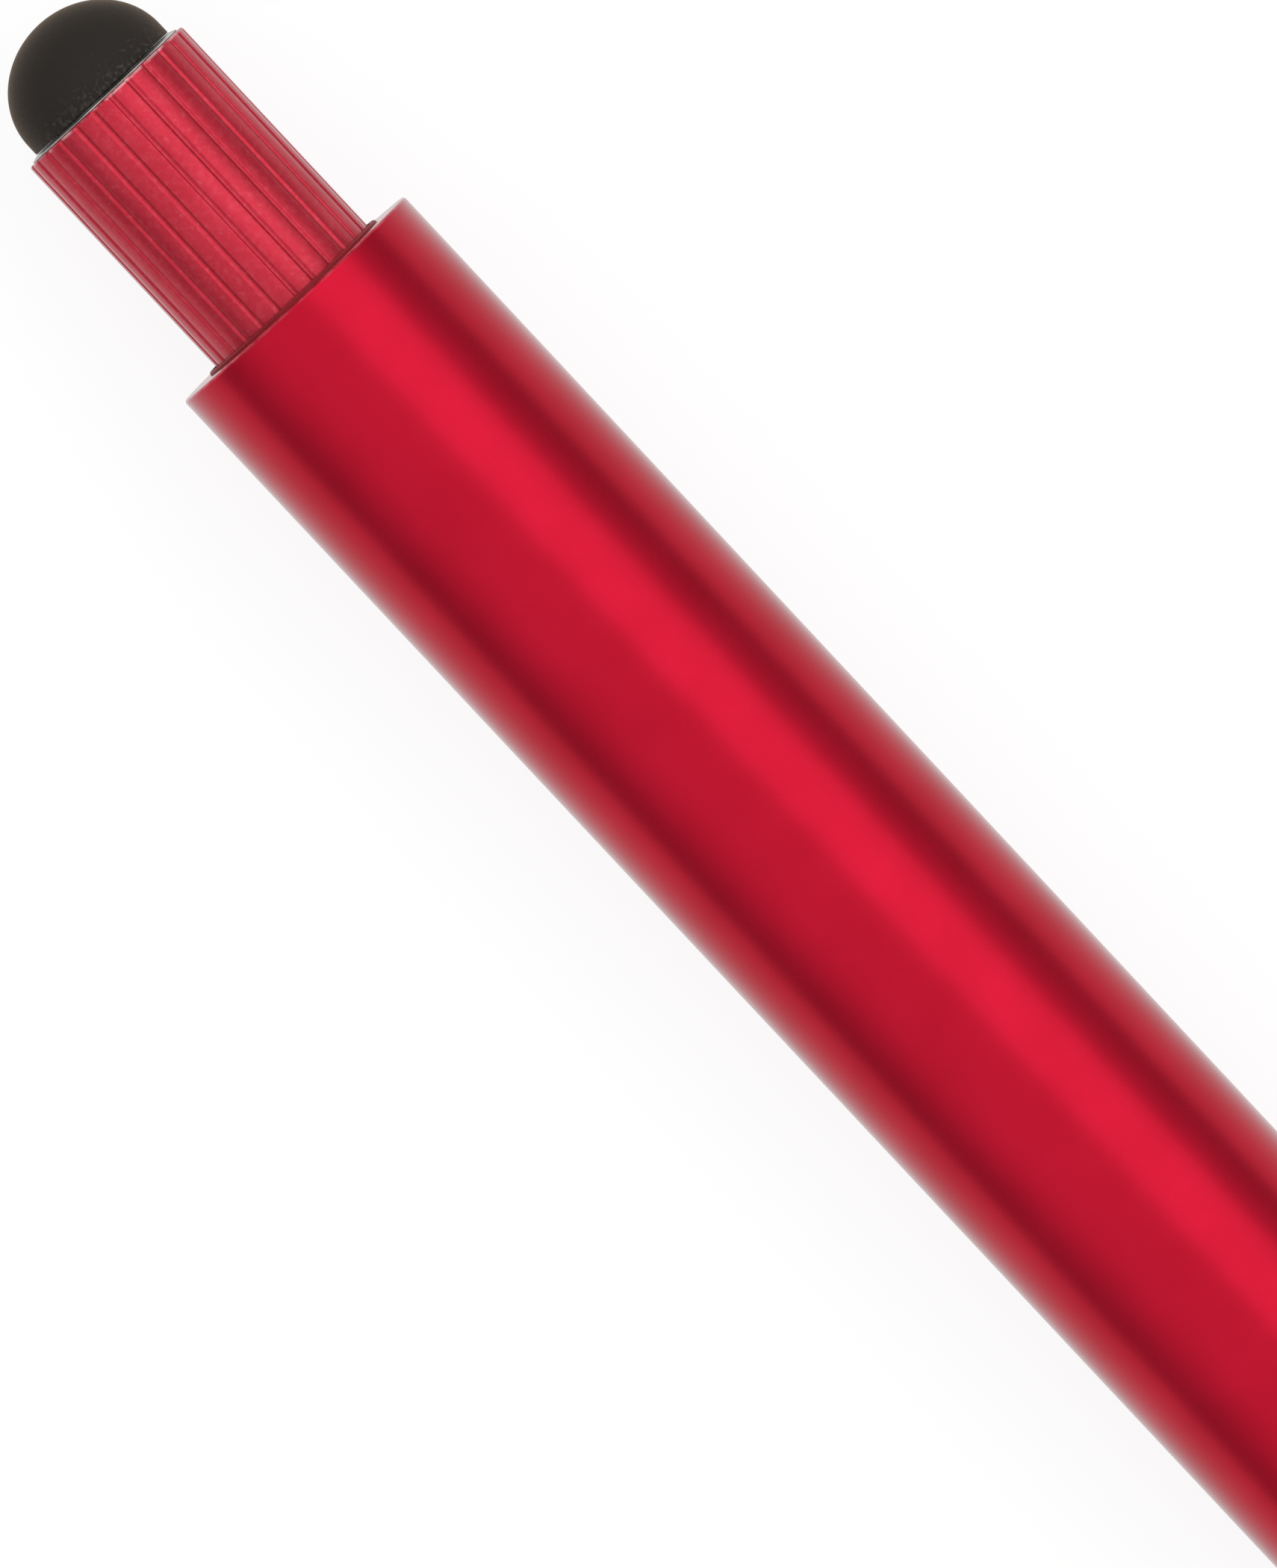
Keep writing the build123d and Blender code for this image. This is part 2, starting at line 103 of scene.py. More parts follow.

# Wear, and painted edge highlights
RUB_AND_HIGHLIGHT_LENGTH = 0.12  # how far from an edge the dye is rubbed and an edge highlight is painted
RUB_AND_HIGHLIGHT_CORE = 0.4  # share of that length that is rubbed and painted light in full
RUB_AND_HIGHLIGHT_PATCH = 0.5
MOTTLE_SHARE = 0.25
DUST_LENGTH = 1.1  # how far the dust reaches from the ring
DUST_SHARE = 0.60

# Meshes
LATHE_SIDES = 192
ROUND_STEPS = 6
SHARP_ANGLE = radians(35)
SAME_POINT = 1e-9  # points of a ring that are nearer than this, in metres, are one

# Barrel and nose
MOUTH_RADIUS = 3.78
BORE_RADIUS = 4.30
LIP_LENGTH = 1.0
EDGE_ROUND = 0.12
FINE_ROUND = 0.03
NOSE_LAND = 0.8
NOSE_CONE_ROUND = 6.0
NOSE_POINT_LENGTH = 5.7
NOSE_POINT_RADIUS = 3.2
NOSE_TIP_RADIUS = 1.75
NOSE_TIP_ROUND = 0.25
ORIFICE_RADIUS = 1.3
ORIFICE_LENGTH = 6.0
SPRING_BORE_RADIUS = 2.6
REFILL_BORE_RADIUS = 3.25
SPIGOT_RADIUS = 3.75
CHAMBER_LENGTH = 16.8  # from the tip back to where the bore narrows

# Fluted button
BUTTON_BORE_RADIUS = 2.70
FLUTE_COUNT = 27
FLUTE_DEPTH = 0.07
FLUTE_FLOOR = 0.11
FLUTE_WIDTH = 0.28
WALL_FOOT = 0.35  # where a flute's wall starts, as a share of half its floor
WALL_BROW = 0.2  # how far the wall runs on past the flute's width, as a share of half its floor
FLUTE_TURN = radians(2.2)
LAND_CROWN = 0.012  # how far a land's edges lie below its middle
LAND_END_ROUND = 0.08
LAND_CORNER = 0.12  # rounding of a land's corners, seen from outside
FLUTE_STEPS = 14
LAND_STEPS = 8

# Stylus
TUBE_INSIDE_RADIUS = 2.68
FERRULE_BORE_RADIUS = 2.08
FERRULE_BEVEL = 0.15
NECK_RADIUS = 2.06
NECK_BORE_RADIUS = 1.32
DOME_CROWN = 2.70
DOME_WALL = 0.9
DOME_BEAD = 0.65
DOME_STEPS = 40

# Refill point, ball and spring
POINT_RADIUS = 1.15
POINT_CONE = 2.9
POINT_SHANK = 4.0
SHANK_RADIUS = 1.33
DUCT_RADIUS = 0.25
SOCKET_FIT = 0.02
SOCKET_LIP = 0.18
LIP_WALL = 0.07
BALL_STEPS = 32
WIRE_RADIUS = 0.2
COIL_COUNT = 8
CLOSED_TURNS = 0.9  # end turns of the spring that lie flat
COIL_STEPS = 48
WIRE_SIDES = 12


def axis_height():
    """Height of the pen's axis above the floor."""
    low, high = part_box("barrel")
    return (low.z + high.z) / 2 / MM


AXIS_Z = axis_height()


def reach(node):
    """First and last X and outer radius of a CAD node that is turned about the pen's axis."""
    low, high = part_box(node)
    points = [vertex.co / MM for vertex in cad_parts[node].data.vertices]
    return low.x / MM, high.x / MM, max(hypot(co.y, co.z - AXIS_Z) for co in points)


def place(x, radius, angle):
    """Point in metres at an angle round the pen's axis, from its top towards +Y."""
    return Vector((x, radius * sin(angle), AXIS_Z + radius * cos(angle))) * MM


def eased(*corners):
    """Closed outline of (x, radius) points from corners (x, radius, rounding)."""
    outline = []
    for i, (x, radius, rounding) in enumerate(corners):
        corner = Vector((x, radius))
        if not rounding:
            outline.append((x, radius))
            continue
        back = (Vector(corners[i - 1][:2]) - corner).normalized()
        ahead = (Vector(corners[(i + 1) % len(corners)][:2]) - corner).normalized()
        half = back.angle(ahead) / 2
        middle = corner + (back + ahead).normalized() * rounding / sin(half)
        start = corner + back * rounding / tan(half) - middle
        end = corner + ahead * rounding / tan(half) - middle
        for step in range(ROUND_STEPS + 1):
            outline.append(tuple(middle + start.slerp(end, step / ROUND_STEPS) * rounding))
    return outline


def skin(rings):
    """Mesh over a closed chain of rings of points. A ring whose points coincide becomes one point."""
    mesh = bmesh.new()
    chain = []
    for ring in rings:
        if (ring[0] - ring[len(ring) // 2]).length < SAME_POINT:
            chain.append([mesh.verts.new(ring[0])] * len(ring))
        else:
            chain.append([mesh.verts.new(point) for point in ring])
    for first, second in zip(chain, chain[1:] + chain[:1]):
        for i in range(len(first)):
            corners = dict.fromkeys((first[i - 1], first[i], second[i], second[i - 1]))
            if len(corners) > 2:
                mesh.faces.new(corners)
    bmesh.ops.recalc_face_normals(mesh, faces=mesh.faces)
    return mesh


def lathe(outline):
    """Mesh turned about the pen's axis from a closed outline of (x, radius) points."""
    angles = [2 * pi * i / LATHE_SIDES for i in range(LATHE_SIDES)]
    return skin([[place(x, radius, angle) for angle in angles] for x, radius in outline])


def piece(name, mesh, node, body, slot, *materials):
    """Object made of a mesh that stands for a CAD node and rides on its body."""
    data = bpy.data.meshes.new(name)
    mesh.to_mesh(data)
    mesh.free()
    for material in materials:
        data.materials.append(material)
    data.shade_smooth()
    data.set_sharp_from_angle(angle=SHARP_ANGLE)
    made = bpy.data.objects.new(name, data)
    bpy.context.scene.collection.objects.link(made)
    made.modifiers.new("face_weights", "WEIGHTED_NORMAL").keep_sharp = True
    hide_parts(node)
    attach(made, body)
    return made


def paint_inside(mesh, radius):
    """Gives the faces that lie nearer to the axis than a radius the second material."""
    for face in mesh.faces:
        middle = face.calc_center_median() / MM
        if hypot(middle.y, middle.z - AXIS_Z) < radius:
            face.material_index = 1


# Materials


def add_node(tree, kind, inputs, **settings):
    """New shader node. An input that is a socket is linked, any other value is set."""
    node = tree.nodes.new(kind)
    for key, value in settings.items():
        setattr(node, key, value)
    for key, value in inputs.items():
        if isinstance(value, bpy.types.NodeSocket):
            tree.links.new(value, node.inputs[key])
        else:
            node.inputs[key].default_value = value
    return node


def new_material(name, **constants):
    """Material with a Principled shader whose even values are set on its sockets."""
    material = bpy.data.materials.new(name)
    material.use_nodes = True
    tree = material.node_tree
    shader = tree.nodes["Principled BSDF"]
    for key, value in constants.items():
        shader.inputs[key.replace("_", " ")].default_value = value
    return material, tree, shader


def noise(tree, size_mm, detail=2.0, stretch=(1, 1, 1)):
    """Noise whose grains are about size_mm wide, and longer along an axis by its stretch."""
    coords = add_node(tree, "ShaderNodeTexCoord", {}).outputs["Object"]
    scale = [1 / (size_mm * MM * factor) for factor in stretch]
    moved = add_node(tree, "ShaderNodeMapping", {"Vector": coords, "Scale": scale}).outputs["Vector"]
    inputs = {"Vector": moved, "Scale": 1.0, "Detail": detail}
    return add_node(tree, "ShaderNodeTexNoise", inputs).outputs["Fac"]


def spread(tree, value, low, high, start=0.3, end=0.7):
    """Value mapped from start..end to low..high."""
    inputs = {"Value": value, "From Min": start, "From Max": end, "To Min": low, "To Max": high}
    return add_node(tree, "ShaderNodeMapRange", inputs).outputs["Result"]


def blend(tree, factor, first, second):
    """Two colours mixed by a factor."""
    start = (*first, 1) if isinstance(first, tuple) else first
    inputs = {"Factor": factor, MIX_FIRST: start, MIX_SECOND: (*second, 1)}
    return add_node(tree, "ShaderNodeMix", inputs, data_type="RGBA").outputs[MIX_RESULT]


def shaded(tree, shader, factor, shades):
    """Base colour that goes from a dark to a light shade by a noise."""
    tree.links.new(blend(tree, spread(tree, factor, 0.0, 1.0), *shades), shader.inputs["Base Color"])


def roughened(tree, shader, factor, low, high):
    """Roughness that varies by a noise."""
    tree.links.new(spread(tree, factor, low, high), shader.inputs["Roughness"])


def combine(tree, operation, first, second):
    """Two values joined by a Math node."""
    return add_node(tree, "ShaderNodeMath", {0: first, 1: second}, operation=operation).outputs["Value"]


def relief(tree, shader, height, depth_mm, normal=None):
    """Bump of a given depth on the shader, or on a normal that another bump gives."""
    inputs = {"Height": height, "Distance": depth_mm * MM, "Strength": 1.0}
    if normal:
        inputs["Normal"] = normal
    bump = add_node(tree, "ShaderNodeBump", inputs).outputs["Normal"]
    tree.links.new(bump, shader.inputs["Normal"])
    return bump


def along_x(tree, start, end):
    """0 at one X and 1 at another, in millimetres."""
    coords = add_node(tree, "ShaderNodeTexCoord", {}).outputs["Object"]
    x = add_node(tree, "ShaderNodeSeparateXYZ", {"Vector": coords}).outputs["X"]
    return spread(tree, x, 0.0, 1.0, start * MM, end * MM)


def rubbed_and_highlit_edges(tree, radius, edges, least):
    """Patches, from a least share to 1, along outer edges at some X, where the dye is rubbed thin and a
    highlight is painted.
    """
    coords = add_node(tree, "ShaderNodeTexCoord", {}).outputs["Object"]
    inputs = {"Vector": coords, "Location": (0, 0, -AXIS_Z * MM), "Scale": (0, 1, 1)}
    flat = add_node(tree, "ShaderNodeMapping", inputs).outputs["Vector"]
    from_axis = add_node(tree, "ShaderNodeVectorMath", {0: flat}, operation="LENGTH").outputs["Value"]
    rubbed_and_highlit = None
    for edge in edges:
        before = along_x(tree, edge - RUB_AND_HIGHLIGHT_LENGTH, edge - RUB_AND_HIGHLIGHT_LENGTH * RUB_AND_HIGHLIGHT_CORE)
        after = along_x(tree, edge + RUB_AND_HIGHLIGHT_LENGTH, edge + RUB_AND_HIGHLIGHT_LENGTH * RUB_AND_HIGHLIGHT_CORE)
        near = combine(tree, "MULTIPLY", before, after)
        rubbed_and_highlit = combine(tree, "MAXIMUM", rubbed_and_highlit, near) if rubbed_and_highlit else near
    outer = spread(tree, from_axis, 0.0, 1.0, (radius - RUB_AND_HIGHLIGHT_LENGTH) * MM, (radius - RUB_AND_HIGHLIGHT_LENGTH / 2) * MM)
    patches = spread(tree, noise(tree, RUB_AND_HIGHLIGHT_PATCH), least, 1.0, start=0.42, end=0.62)
    return combine(tree, "MULTIPLY", combine(tree, "MULTIPLY", rubbed_and_highlit, outer), patches)


def anodised_red(name, dye, rubbed_and_highlit, roughness, grain, coat_ior, edge_tint, edges, speck=0.0):
    """Dyed anodised aluminium: satin metal with a fine grain, faint drawing lines and some pale specks.

    The dye has a dark and a light shade, and a paler colour where it is rubbed and an edge highlight is
    painted. The grain has a width and a depth, and the edges a radius, their places along X and the
    least share of rubbing and painted highlight.
    """
    grain_mm, grain_depth = grain
    material, tree, shader = new_material(
        name,
        Metallic=1.0,
        Specular_Tint=(*edge_tint, 1),
        Coat_Weight=1.0,
        Coat_IOR=coat_ior,
        Coat_Roughness=0.25,
    )
    cloud = noise(tree, 2.5, detail=4.0)
    fine = noise(tree, grain_mm)
    lines = noise(tree, 0.05, stretch=(60, 1, 1))
    colour = blend(tree, spread(tree, cloud, 0.0, 1.0), *dye)
    if speck:
        mottle = spread(tree, noise(tree, 0.22, detail=3.0), 0.0, MOTTLE_SHARE, start=0.45, end=0.75)
        colour = blend(tree, mottle, colour, MOTTLE_RED)
        bright = spread(tree, noise(tree, 0.20), 0.0, speck, start=0.60, end=0.80)
        colour = blend(tree, bright, colour, SPECK_RED)
    # pale edges: rubbed dye, and a painted highlight where the rounded edges would catch the light
    colour = blend(tree, rubbed_and_highlit_edges(tree, *edges), colour, rubbed_and_highlit)
    tree.links.new(colour, shader.inputs["Base Color"])
    roughened(tree, shader, fine, roughness - 0.04, roughness + 0.04)
    relief(tree, shader, lines, 0.0006, relief(tree, shader, fine, grain_depth))
    return material


def bare_aluminium():
    """Turned aluminium with fine turning rings, dulled in patches."""
    material, tree, shader = new_material("bare_aluminium", Metallic=1.0)
    rings = noise(tree, 0.04, detail=3.0, stretch=(1, 40, 40))
    shaded(tree, shader, noise(tree, 0.9, detail=3.0), ALUMINIUM)
    roughened(tree, shader, rings, 0.24, 0.40)
    relief(tree, shader, rings, 0.001)
    return material


def black_rubber(base_x):
    """Soft conductive rubber: matte, with pale dust that gathers next to the ring."""
    material, tree, shader = new_material(
        "black_rubber",
        Specular_IOR_Level=0.25,
        Sheen_Weight=0.35,
        Sheen_Roughness=0.35,
        Sheen_Tint=(*RUBBER_SHEEN, 1),
    )
    grain = noise(tree, 0.06, detail=3.0)
    near_base = along_x(tree, base_x - DUST_LENGTH, base_x)
    threshold = spread(tree, near_base, 0.70, 0.45, start=0.0, end=1.0)
    above = combine(tree, "SUBTRACT", noise(tree, 0.14), threshold)
    dust = spread(tree, above, 0.0, DUST_SHARE, start=0.0, end=0.22)
    body = blend(tree, spread(tree, grain, 0.0, 1.0), *RUBBER)
    tree.links.new(blend(tree, dust, body, DUST), shader.inputs["Base Color"])
    roughened(tree, shader, grain, 0.62, 0.80)
    relief(tree, shader, grain, 0.004)
    return material


def moulded_plastic(name, shades, roughness, gloss=0.5):
    """Moulded plastic with a fine spark-eroded grain."""
    material, tree, shader = new_material(name, Specular_IOR_Level=gloss)
    grain = noise(tree, 0.08, detail=3.0)
    shaded(tree, shader, noise(tree, 1.5), shades)
    roughened(tree, shader, grain, roughness - 0.06, roughness + 0.06)
    relief(tree, shader, grain, 0.003)
    return material


def turned_metal(name, shades, roughness, ring_mm):
    """Bare metal with turning marks round the axis."""
    material, tree, shader = new_material(name, Metallic=1.0)
    rings = noise(tree, ring_mm, detail=3.0, stretch=(1, 30, 30))
    shaded(tree, shader, noise(tree, 1.2, detail=3.0), shades)
    roughened(tree, shader, rings, roughness - 0.05, roughness + 0.07)
    relief(tree, shader, rings, 0.0008)
    return material


def writing_ink():
    """Thick black-blue ink with slight streaks."""
    material, tree, shader = new_material("ink", Specular_IOR_Level=0.5)
    streaks = noise(tree, 0.6, detail=3.0, stretch=(6, 1, 1))
    shaded(tree, shader, streaks, INK)
    roughened(tree, shader, streaks, 0.08, 0.20)
    return material


# Pieces


def make_barrel(red, bare):
    """Drawn tube with softly broken edges and a bare bore."""
    start, end, radius = reach("barrel")
    mesh = lathe(
        eased(
            (start, MOUTH_RADIUS, FINE_ROUND),
            (start, radius, EDGE_ROUND),
            (end, radius, EDGE_ROUND),
            (end, BORE_RADIUS, FINE_ROUND),
            (start + LIP_LENGTH, BORE_RADIUS, 0),
            (start + LIP_LENGTH, MOUTH_RADIUS, FINE_ROUND),
        )
    )
    paint_inside(mesh, BORE_RADIUS + FINE_ROUND)
    return piece("drawn_barrel", mesh, "barrel", "barrel", "red_anodised", red, bare)


def make_nose_cone(red, bare):
    """Turned cone in two tapers with its spigot, spring chamber and the hole for the point."""
    spigot_x, tip, radius = reach("nose_cone")
    start = reach("barrel")[1]
    mesh = lathe(
        eased(
            (tip, ORIFICE_RADIUS, FINE_ROUND),
            (tip - ORIFICE_LENGTH, ORIFICE_RADIUS, 0),
            (tip - ORIFICE_LENGTH, SPRING_BORE_RADIUS, 0),
            (tip - CHAMBER_LENGTH + REFILL_BORE_RADIUS - SPRING_BORE_RADIUS, SPRING_BORE_RADIUS, 0),
            (tip - CHAMBER_LENGTH, REFILL_BORE_RADIUS, 0),
            (spigot_x, REFILL_BORE_RADIUS, FINE_ROUND),
            (spigot_x, SPIGOT_RADIUS, FINE_ROUND),
            (start, SPIGOT_RADIUS, 0),
            (start, radius, EDGE_ROUND),
            (start + NOSE_LAND, radius, NOSE_CONE_ROUND),
            (tip - NOSE_POINT_LENGTH, NOSE_POINT_RADIUS, NOSE_CONE_ROUND),
            (tip, NOSE_TIP_RADIUS, NOSE_TIP_ROUND),
        )
    )
    paint_inside(mesh, ORIFICE_RADIUS + FINE_ROUND)
    return piece("turned_nose_cone", mesh, "nose_cone", "barrel", "red_anodised", red, bare)


def flute_dip(offset, half_pitch):
    """Depth below the button's radius at a distance round it from the middle of a flute."""
    floor, edge = FLUTE_FLOOR / 2, FLUTE_WIDTH / 2
    wall_start, wall_end = floor * WALL_FOOT, edge + floor * WALL_BROW
    rise = min(max((offset - wall_start) / (wall_end - wall_start), 0), 1)
    flute = FLUTE_DEPTH * (1 - rise * rise * (3 - 2 * rise))
    from_middle = (half_pitch - offset) / (half_pitch - edge)
    return max(flute, LAND_CROWN * min(from_middle, 1) ** 2)


def button_section(radius, widening):
    """Points (arc, radius) round the fluted button, with the flutes widened at both sides."""
    pitch = 2 * pi * radius / FLUTE_COUNT
    edge = FLUTE_WIDTH / 2 + FLUTE_FLOOR / 2 * WALL_BROW + widening
    offsets = [-edge + 2 * edge * i / FLUTE_STEPS for i in range(FLUTE_STEPS)]
    offsets += [edge + (pitch - 2 * edge) * i / LAND_STEPS for i in range(LAND_STEPS)]
    points = []
    for flute in range(FLUTE_COUNT):
        for offset in offsets:
            from_flute = max(min(abs(offset), pitch - abs(offset)) - widening, 0)
            points.append((flute * pitch + offset, radius - flute_dip(from_flute, pitch / 2 - widening)))
    return points


def make_button_tube(red):
    """Tube with softly edged flutes, whose lands end in rounded corners."""
    start, end, radius = reach("button_tube")

    def ring(x, largest, loss=0.0):
        section = button_section(radius, LAND_CORNER * loss)
        return [place(x, min(own, largest), FLUTE_TURN + arc / radius) for arc, own in section]

    rings = []
    for step in range(ROUND_STEPS + 1):
        angle = pi / 2 * step / ROUND_STEPS
        loss = 1 - sin(angle)
        rings.append(ring(start + LAND_CORNER * (1 - cos(angle)), radius - LAND_END_ROUND * loss, loss))
    rings.append(ring(end, radius))
    rings += [ring(x, BUTTON_BORE_RADIUS) for x in (end, start)]
    return piece("fluted_button", skin(rings), "button_tube", "button", "red_anodised", red)


def make_stylus_ferrule(bare):
    """Turned ferrule whose bevelled edge shows between the dome and the flutes."""
    start, end, bevel_r = reach("stylus_ferrule")
    dome_r = reach("stylus_dome")[2]
    shoulder = start + FERRULE_BEVEL
    mesh = lathe(
        eased(
            (start, FERRULE_BORE_RADIUS, 0),
            (start, dome_r, FINE_ROUND),
            (shoulder, bevel_r, FINE_ROUND),
            (shoulder, TUBE_INSIDE_RADIUS, 0),
            (end, TUBE_INSIDE_RADIUS, FINE_ROUND),
            (end, FERRULE_BORE_RADIUS, FINE_ROUND),
        )
    )
    return piece("bevelled_ferrule", mesh, "stylus_ferrule", "button", "bare_aluminium", bare)


def make_stylus_dome(rubber):
    """Hollow rubber dome with its neck and the bead that locks behind the ferrule."""
    top, end, radius = reach("stylus_dome")
    rim = reach("stylus_ferrule")[0] - FINE_ROUND / 2
    side = top + DOME_CROWN
    crown = []
    for step in range(DOME_STEPS):
        angle = pi / 2 * step / DOME_STEPS
        crown.append((side - DOME_CROWN * cos(angle), radius * sin(angle), 0))
    mesh = lathe(
        eased(
            (top + DOME_WALL, 0, 0),
            *crown,
            (side, radius, 0),
            (rim, radius, FINE_ROUND),
            (rim, NECK_RADIUS, 0),
            (end - DOME_BEAD, NECK_RADIUS, 0),
            (end - DOME_BEAD, TUBE_INSIDE_RADIUS, FINE_ROUND),
            (end, TUBE_INSIDE_RADIUS, FINE_ROUND),
            (end, NECK_BORE_RADIUS, 0),
            (side, NECK_BORE_RADIUS, 0),
            (side, radius - DOME_WALL, 0),
            (top + DOME_WALL, NECK_BORE_RADIUS, 0),
        )
    )
    return piece("rubber_dome", mesh, "stylus_dome", "button", "black_rubber", rubber)


def make_refill_point(brass):
    """Turned writing point: shank, straight body, cone, ink duct and the ball's socket."""
    start, lip_x, _ = reach("refill_point")
    ball_x, ball_r = ball_place()
    socket_r = ball_r + SOCKET_FIT
    lip_r = sqrt(socket_r**2 - SOCKET_LIP**2)
    seat = sqrt(2) * socket_r
    mesh = lathe(
        eased(
            (start, DUCT_RADIUS, 0),
            (start, SHANK_RADIUS, FINE_ROUND),
            (start + POINT_SHANK, SHANK_RADIUS, FINE_ROUND),
            (start + POINT_SHANK, POINT_RADIUS, 0),
            (ball_x + ball_r - POINT_CONE, POINT_RADIUS, FINE_ROUND),
            (lip_x, lip_r + LIP_WALL, FINE_ROUND),
            (lip_x, lip_r, 0),
            (ball_x, socket_r, 0),
            (ball_x - seat + socket_r, socket_r, 0),
            (ball_x - seat + DUCT_RADIUS, DUCT_RADIUS, 0),
        )
    )
    return piece("brass_point", mesh, "refill_point", "refill", "brass", brass)


def ball_place():
    """X of the ball's centre, and its radius."""
    start, end, _ = reach("writing_ball")
    return (start + end) / 2, (end - start) / 2


def make_writing_ball(steel):
    """Ground ball in the point's socket."""
    x, radius = ball_place()
    angles = [pi * step / BALL_STEPS for step in range(BALL_STEPS + 1)]
    mesh = lathe([(x + radius * cos(angle), radius * sin(angle)) for angle in angles])
    return piece("ground_ball", mesh, "writing_ball", "ball", "ball_steel", steel)


def make_return_spring(steel):
    """Spring of round wire with closed end turns. It shortens as the refill comes forward."""
    start, end, outer = reach("return_spring")
    coil_r = outer - WIRE_RADIUS
    first, last = start + WIRE_RADIUS, end - WIRE_RADIUS
    closed = CLOSED_TURNS * 2 * WIRE_RADIUS
    open_pitch = (last - first - 2 * closed) / (COIL_COUNT - 2 * CLOSED_TURNS)

    def advance(turns):
        """X of the wire's middle after some turns."""
        if turns < CLOSED_TURNS:
            return first + 2 * WIRE_RADIUS * turns
        if turns > COIL_COUNT - CLOSED_TURNS:
            return last - 2 * WIRE_RADIUS * (COIL_COUNT - turns)
        return first + closed + open_pitch * (turns - CLOSED_TURNS)

    rings = []
    steps = COIL_COUNT * COIL_STEPS
    for step in range(steps + 1):
        turns = COIL_COUNT * step / steps
        ring = []
        for side in range(WIRE_SIDES):
            angle = 2 * pi * side / WIRE_SIDES
            x = advance(turns) + WIRE_RADIUS * sin(angle)
            ring.append(place(x, coil_r + WIRE_RADIUS * cos(angle), 2 * pi * turns))
        rings.append(ring)
    middles = [sum(ring, Vector()) / WIRE_SIDES for ring in (rings[0], rings[-1])]
    caps = [[middle] * WIRE_SIDES for middle in middles]
    mesh = skin([caps[0], *rings, caps[1]])
    spring = piece("wound_spring", mesh, "return_spring", "barrel", "spring_steel", steel)
    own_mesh(spring)
    return spring


def dress(node, material):
    """Puts a material on a CAD node that keeps its own shape."""
    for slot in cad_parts[node].material_slots:
        slot.material = material


# Studio


def make_camera():
    """Camera at the photograph's angle, high above the pen's rear half."""
    back = Vector((-sin(CAMERA_TILT), 0, cos(CAMERA_TILT)))
    along = Vector((cos(CAMERA_TILT), 0, sin(CAMERA_TILT)))
    across = Vector((0, 1, 0))
    right = along * cos(PEN_TURN) + across * sin(PEN_TURN)
    up = across * cos(PEN_TURN) - along * sin(PEN_TURN)
    lens = bpy.data.cameras.new("camera")
    lens.sensor_width = SENSOR
    lens.lens = SENSOR * CAMERA_DISTANCE * PX_PER_MM / PHOTO_HEIGHT_PX
    camera = bpy.data.objects.new("camera", lens)
    aim = Vector((*CAMERA_AIM, AXIS_Z)) * MM
    turn = Matrix((right, up, back)).transposed().to_4x4()
    camera.matrix_world = Matrix.Translation(aim + back * CAMERA_DISTANCE * MM) @ turn
    bpy.context.scene.collection.objects.link(camera)
    bpy.context.scene.camera = camera


def make_softbox():
    """Long soft lamp along the pen that fills its spread to both sides of its lean."""
    lamp = bpy.data.lights.new("softbox", "AREA")
    lamp.shape = "RECTANGLE"
    lamp.size = LAMP_LENGTH * MM
    lamp.size_y = 2 * LAMP_DISTANCE * tan(LAMP_SPREAD) * MM
    lamp.energy = LAMP_RADIANCE * pi * lamp.size * lamp.size_y
    holder = bpy.data.objects.new("softbox", lamp)
    middle = Vector((CAMERA_AIM[0], 0, AXIS_Z)) * MM
    hung = Matrix.Rotation(-LAMP_LEAN, 4, "X") @ Matrix.Translation((0, 0, LAMP_DISTANCE * MM))
    holder.matrix_world = Matrix.Translation(middle) @ hung
    holder.visible_camera = False
    bpy.context.scene.collection.objects.link(holder)


def make_floor():
    """White floor that shows the pen's shadow and looks white to the camera and in metal."""
    material = bpy.data.materials.new("white_floor")
    material.use_nodes = True
    tree = material.node_tree
    tree.nodes.clear()
    path = add_node(tree, "ShaderNodeLightPath", {}).outputs
    seen = combine(tree, "MAXIMUM", path["Is Camera Ray"], path["Is Glossy Ray"])
    seen = combine(tree, "MAXIMUM", seen, path["Is Transmission Ray"])
    strength = combine(tree, "MULTIPLY", seen, FLOOR_GLOW)
    grey = (FLOOR_ALBEDO, FLOOR_ALBEDO, FLOOR_ALBEDO, 1)
    diffuse = add_node(tree, "ShaderNodeBsdfDiffuse", {"Color": grey}).outputs["BSDF"]
    glow = add_node(tree, "ShaderNodeEmission", {"Strength": strength}).outputs["Emission"]
    both = add_node(tree, "ShaderNodeAddShader", {0: diffuse, 1: glow}).outputs["Shader"]
    add_node(tree, "ShaderNodeOutputMaterial", {"Surface": both})
    half = FLOOR_SIZE / 2 * MM
    data = bpy.data.meshes.new("floor")
    corners = [(-half, -half, 0), (half, -half, 0), (half, half, 0), (-half, half, 0)]
    data.from_pydata(corners, [], [(0, 1, 2, 3)])
    data.materials.append(material)
    floor = bpy.data.objects.new("floor", data)
    bpy.context.scene.collection.objects.link(floor)


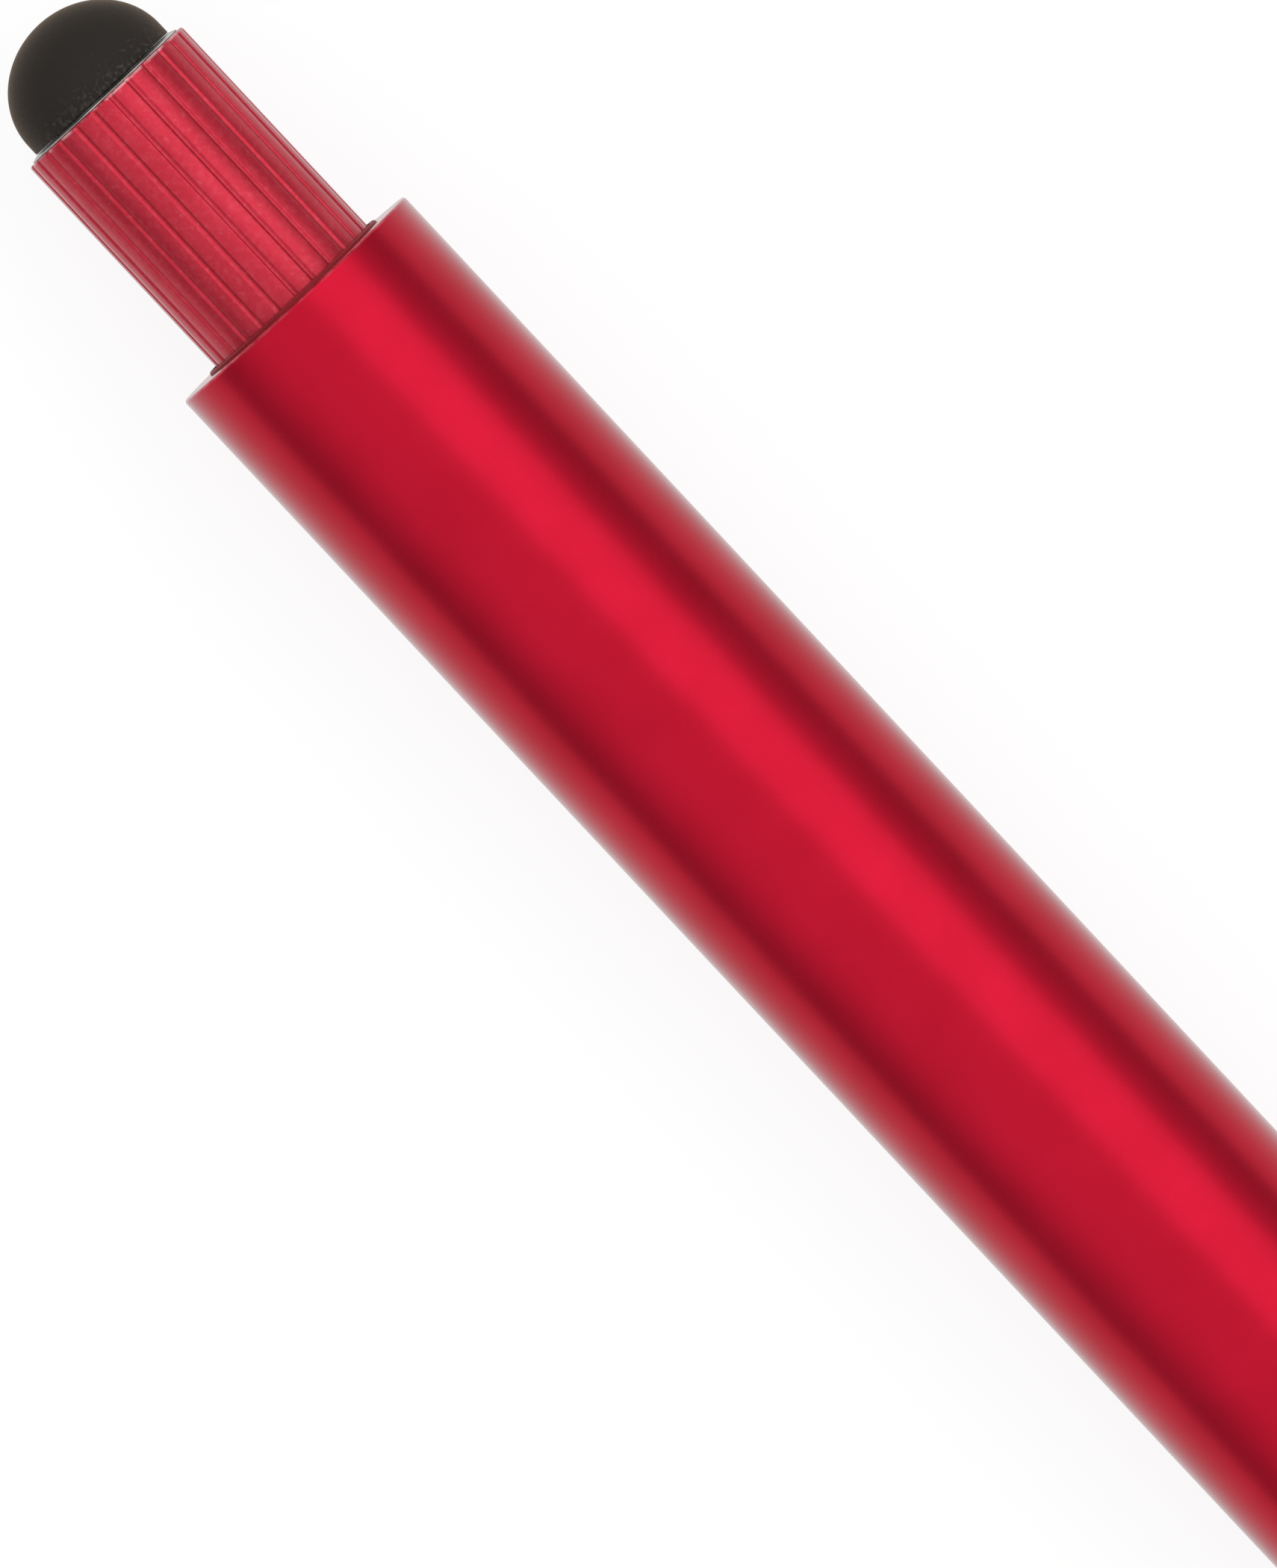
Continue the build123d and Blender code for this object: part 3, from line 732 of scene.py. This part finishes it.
def make_room():
    """Plain grey room that brightens softly from the horizon to overhead."""
    world = bpy.data.worlds.new("room")
    world.use_nodes = True
    tree = world.node_tree
    way = add_node(tree, "ShaderNodeTexCoord", {}).outputs["Generated"]
    upward = add_node(tree, "ShaderNodeSeparateXYZ", {"Vector": way}).outputs["Z"]
    inputs = {"Value": upward, "From Min": ROOM_RISE[0], "From Max": ROOM_RISE[1]}
    inputs.update({"To Min": ROOM_LOW, "To Max": ROOM_HIGH})
    level = add_node(tree, "ShaderNodeMapRange", inputs, interpolation_type="SMOOTHSTEP")
    background = tree.nodes["Background"]
    background.inputs["Color"].default_value = (1, 1, 1, 1)
    tree.links.new(level.outputs["Result"], background.inputs["Strength"])
    bpy.context.scene.world = world


def build():
    """The whole pen and its studio."""
    mouth, joint, radius = reach("barrel")
    red = anodised_red(
        "red_anodised",
        BARREL_DYE,
        BARREL_RUBBED_AND_HIGHLIGHT,
        roughness=0.28,
        grain=(0.05, 0.0012),
        coat_ior=1.16,
        edge_tint=BARREL_EDGE_TINT,
        edges=(radius, (mouth, joint), 0.2),
    )
    button_end, _, button_radius = reach("button_tube")
    satin_red = anodised_red(
        "red_anodised_satin",
        BUTTON_DYE,
        BUTTON_RUBBED_AND_GLINT,
        roughness=0.40,
        grain=(0.06, 0.004),
        coat_ior=1.27,
        edge_tint=BUTTON_EDGE_TINT,
        edges=(button_radius, (button_end,), 0.0),
        speck=0.10,
    )
    bare = bare_aluminium()
    rubber = black_rubber(reach("stylus_ferrule")[0])
    brass = turned_metal("brass", BRASS, roughness=0.25, ring_mm=0.05)
    make_barrel(red, bare)
    make_nose_cone(red, bare)
    make_button_tube(satin_red)
    make_stylus_ferrule(bare)
    make_stylus_dome(rubber)
    make_refill_point(brass)
    make_writing_ball(turned_metal("ball_steel", BALL_STEEL, roughness=0.14, ring_mm=0.03))
    make_return_spring(turned_metal("spring_steel", SPRING_STEEL, roughness=0.22, ring_mm=0.05))
    white = moulded_plastic("white_plastic", WHITE, roughness=0.4)
    dress("guide_sleeve", moulded_plastic("maroon_plastic", MAROON, roughness=0.5, gloss=0.2))
    dress("button_stem", white)
    dress("cam_rotor", white)
    dress("refill_end_cap", moulded_plastic("grey_plastic", GREY, roughness=0.45))
    dress("stylus_plug", bare)
    dress("thread_bush", brass)
    dress("refill_tube", turned_metal("refill_steel", REFILL_STEEL, roughness=0.3, ring_mm=0.06))
    dress("ink_column", writing_ink())
    make_floor()
    make_room()
    make_softbox()
    make_camera()
    bpy.context.scene.view_settings.view_transform = "Standard"


build()
